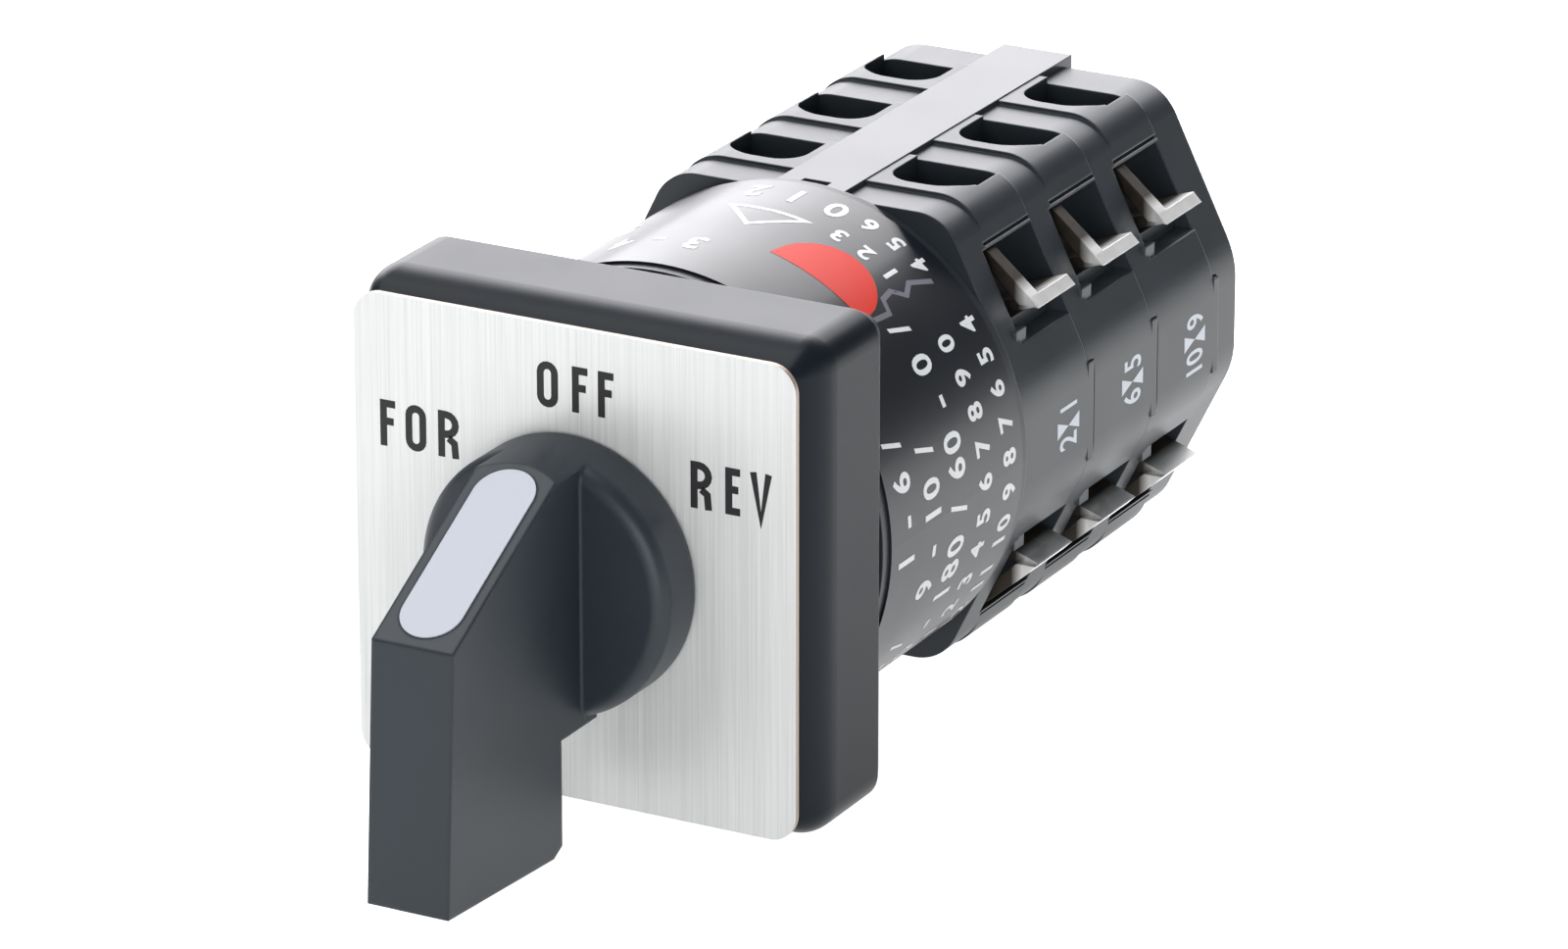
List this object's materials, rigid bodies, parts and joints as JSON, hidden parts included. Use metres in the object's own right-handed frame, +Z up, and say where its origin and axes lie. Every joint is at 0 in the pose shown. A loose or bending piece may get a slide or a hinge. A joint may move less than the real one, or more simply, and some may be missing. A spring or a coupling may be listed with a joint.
{
  "type": "reversing drum switch",
  "caption": "Panel-mounted rotary reversing switch: lever knob and square face plate in front, round detent housing and stacked screw-terminal contact decks behind.",
  "frame": {"origin": "centre of the bezel's back plane on the switch axis", "axes": "+Y along the switch axis into the panel, -Y to the operator, +Z up towards the OFF legend, +X to the operator's right"},
  "size_m": [0.0498, 0.1289, 0.0498],
  "materials": {
    "black_plastic": "moulded glass-filled black plastic",
    "housing_plastic": "moulded dark grey plastic",
    "strip_plastic": "smooth dark plastic strip",
    "knob_plastic": "fine-grained black plastic",
    "plate": "upright brushed satin",
    "label": "glossy printed film",
    "insert": "smooth pale plastic",
    "bush_brass": "turned",
    "steel": "zinc plated",
    "spring_steel": "bright drawn",
    "terminal_metal": "silver plated",
    "natural_plastic": "natural low-friction plastic",
    "contact_copper": "copper with silver faces"
  },
  "bodies": {
    "housing": {"bezel_frame": "black_plastic", "face_plate": "plate", "bezel_screws": "steel", "shaft_bush": "bush_brass", "mechanism_housing": "housing_plastic", "label_sleeve": "label", "detent_spring": "spring_steel", "contact_deck_1": "black_plastic", "contact_deck_2": "black_plastic", "contact_deck_3": "black_plastic", "end_plate": "black_plastic", "locking_strip_top": "strip_plastic", "locking_strip_bottom": "strip_plastic", "terminals_1": "terminal_metal", "terminals_2": "terminal_metal", "terminals_3": "terminal_metal", "clamp_washers_1": "steel", "clamp_washers_2": "steel", "clamp_washers_3": "steel", "terminal_screws_1": "steel", "terminal_screws_2": "steel", "terminal_screws_3": "steel", "tie_screws": "steel", "contact_spring_1_right": "spring_steel", "contact_spring_2_right": "spring_steel", "contact_spring_3_right": "spring_steel", "contact_spring_1_left": "spring_steel", "contact_spring_2_left": "spring_steel", "contact_spring_3_left": "spring_steel"},
    "rotor": {"knob": "knob_plastic", "pointer_insert": "insert", "knob_set_screw": "steel", "switch_shaft": "steel", "detent_wheel": "natural_plastic", "cam_1": "natural_plastic", "cam_2": "natural_plastic", "cam_3": "natural_plastic", "retaining_clip": "steel"},
    "plunger_1_right": {"plunger_1_right": "natural_plastic", "bridge_1_right": "contact_copper"},
    "plunger_2_right": {"plunger_2_right": "natural_plastic", "bridge_2_right": "contact_copper"},
    "plunger_3_right": {"plunger_3_right": "natural_plastic", "bridge_3_right": "contact_copper"},
    "plunger_1_left": {"plunger_1_left": "natural_plastic", "bridge_1_left": "contact_copper"},
    "plunger_2_left": {"plunger_2_left": "natural_plastic", "bridge_2_left": "contact_copper"},
    "plunger_3_left": {"plunger_3_left": "natural_plastic", "bridge_3_left": "contact_copper"}
  },
  "joints": [
    {"name": "knob", "type": "hinge", "parent": "housing", "child": "rotor", "pos_m": [0, 0, 0], "axis": [0, 1, 0], "range_deg": [-60, 60]},
    {"name": "contact_1_right", "type": "slide", "parent": "housing", "child": "plunger_1_right", "axis": [1, 0, 0], "range_m": [-0.0016, 0.0016], "deforming": ["contact_spring_1_right"]},
    {"name": "contact_2_right", "type": "slide", "parent": "housing", "child": "plunger_2_right", "axis": [1, 0, 0], "range_m": [-0.0016, 0.0016], "deforming": ["contact_spring_2_right"]},
    {"name": "contact_3_right", "type": "slide", "parent": "housing", "child": "plunger_3_right", "axis": [1, 0, 0], "range_m": [-0.0016, 0.0016], "deforming": ["contact_spring_3_right"]},
    {"name": "contact_1_left", "type": "slide", "parent": "housing", "child": "plunger_1_left", "axis": [1, 0, 0], "range_m": [-0.0016, 0.0016], "deforming": ["contact_spring_1_left"]},
    {"name": "contact_2_left", "type": "slide", "parent": "housing", "child": "plunger_2_left", "axis": [1, 0, 0], "range_m": [-0.0016, 0.0016], "deforming": ["contact_spring_2_left"]},
    {"name": "contact_3_left", "type": "slide", "parent": "housing", "child": "plunger_3_left", "axis": [1, 0, 0], "range_m": [-0.0016, 0.0016], "deforming": ["contact_spring_3_left"]}
  ],
  "couplings": [
    {"joint": "contact_1_right", "follows": "knob", "m_per_rad": 0.0014324},
    {"joint": "contact_2_right", "follows": "knob", "m_per_rad": 0.0014324},
    {"joint": "contact_3_right", "follows": "knob", "m_per_rad": 0.0014324},
    {"joint": "contact_1_left", "follows": "knob", "m_per_rad": 0.0014324},
    {"joint": "contact_2_left", "follows": "knob", "m_per_rad": 0.0014324},
    {"joint": "contact_3_left", "follows": "knob", "m_per_rad": 0.0014324}
  ]
}
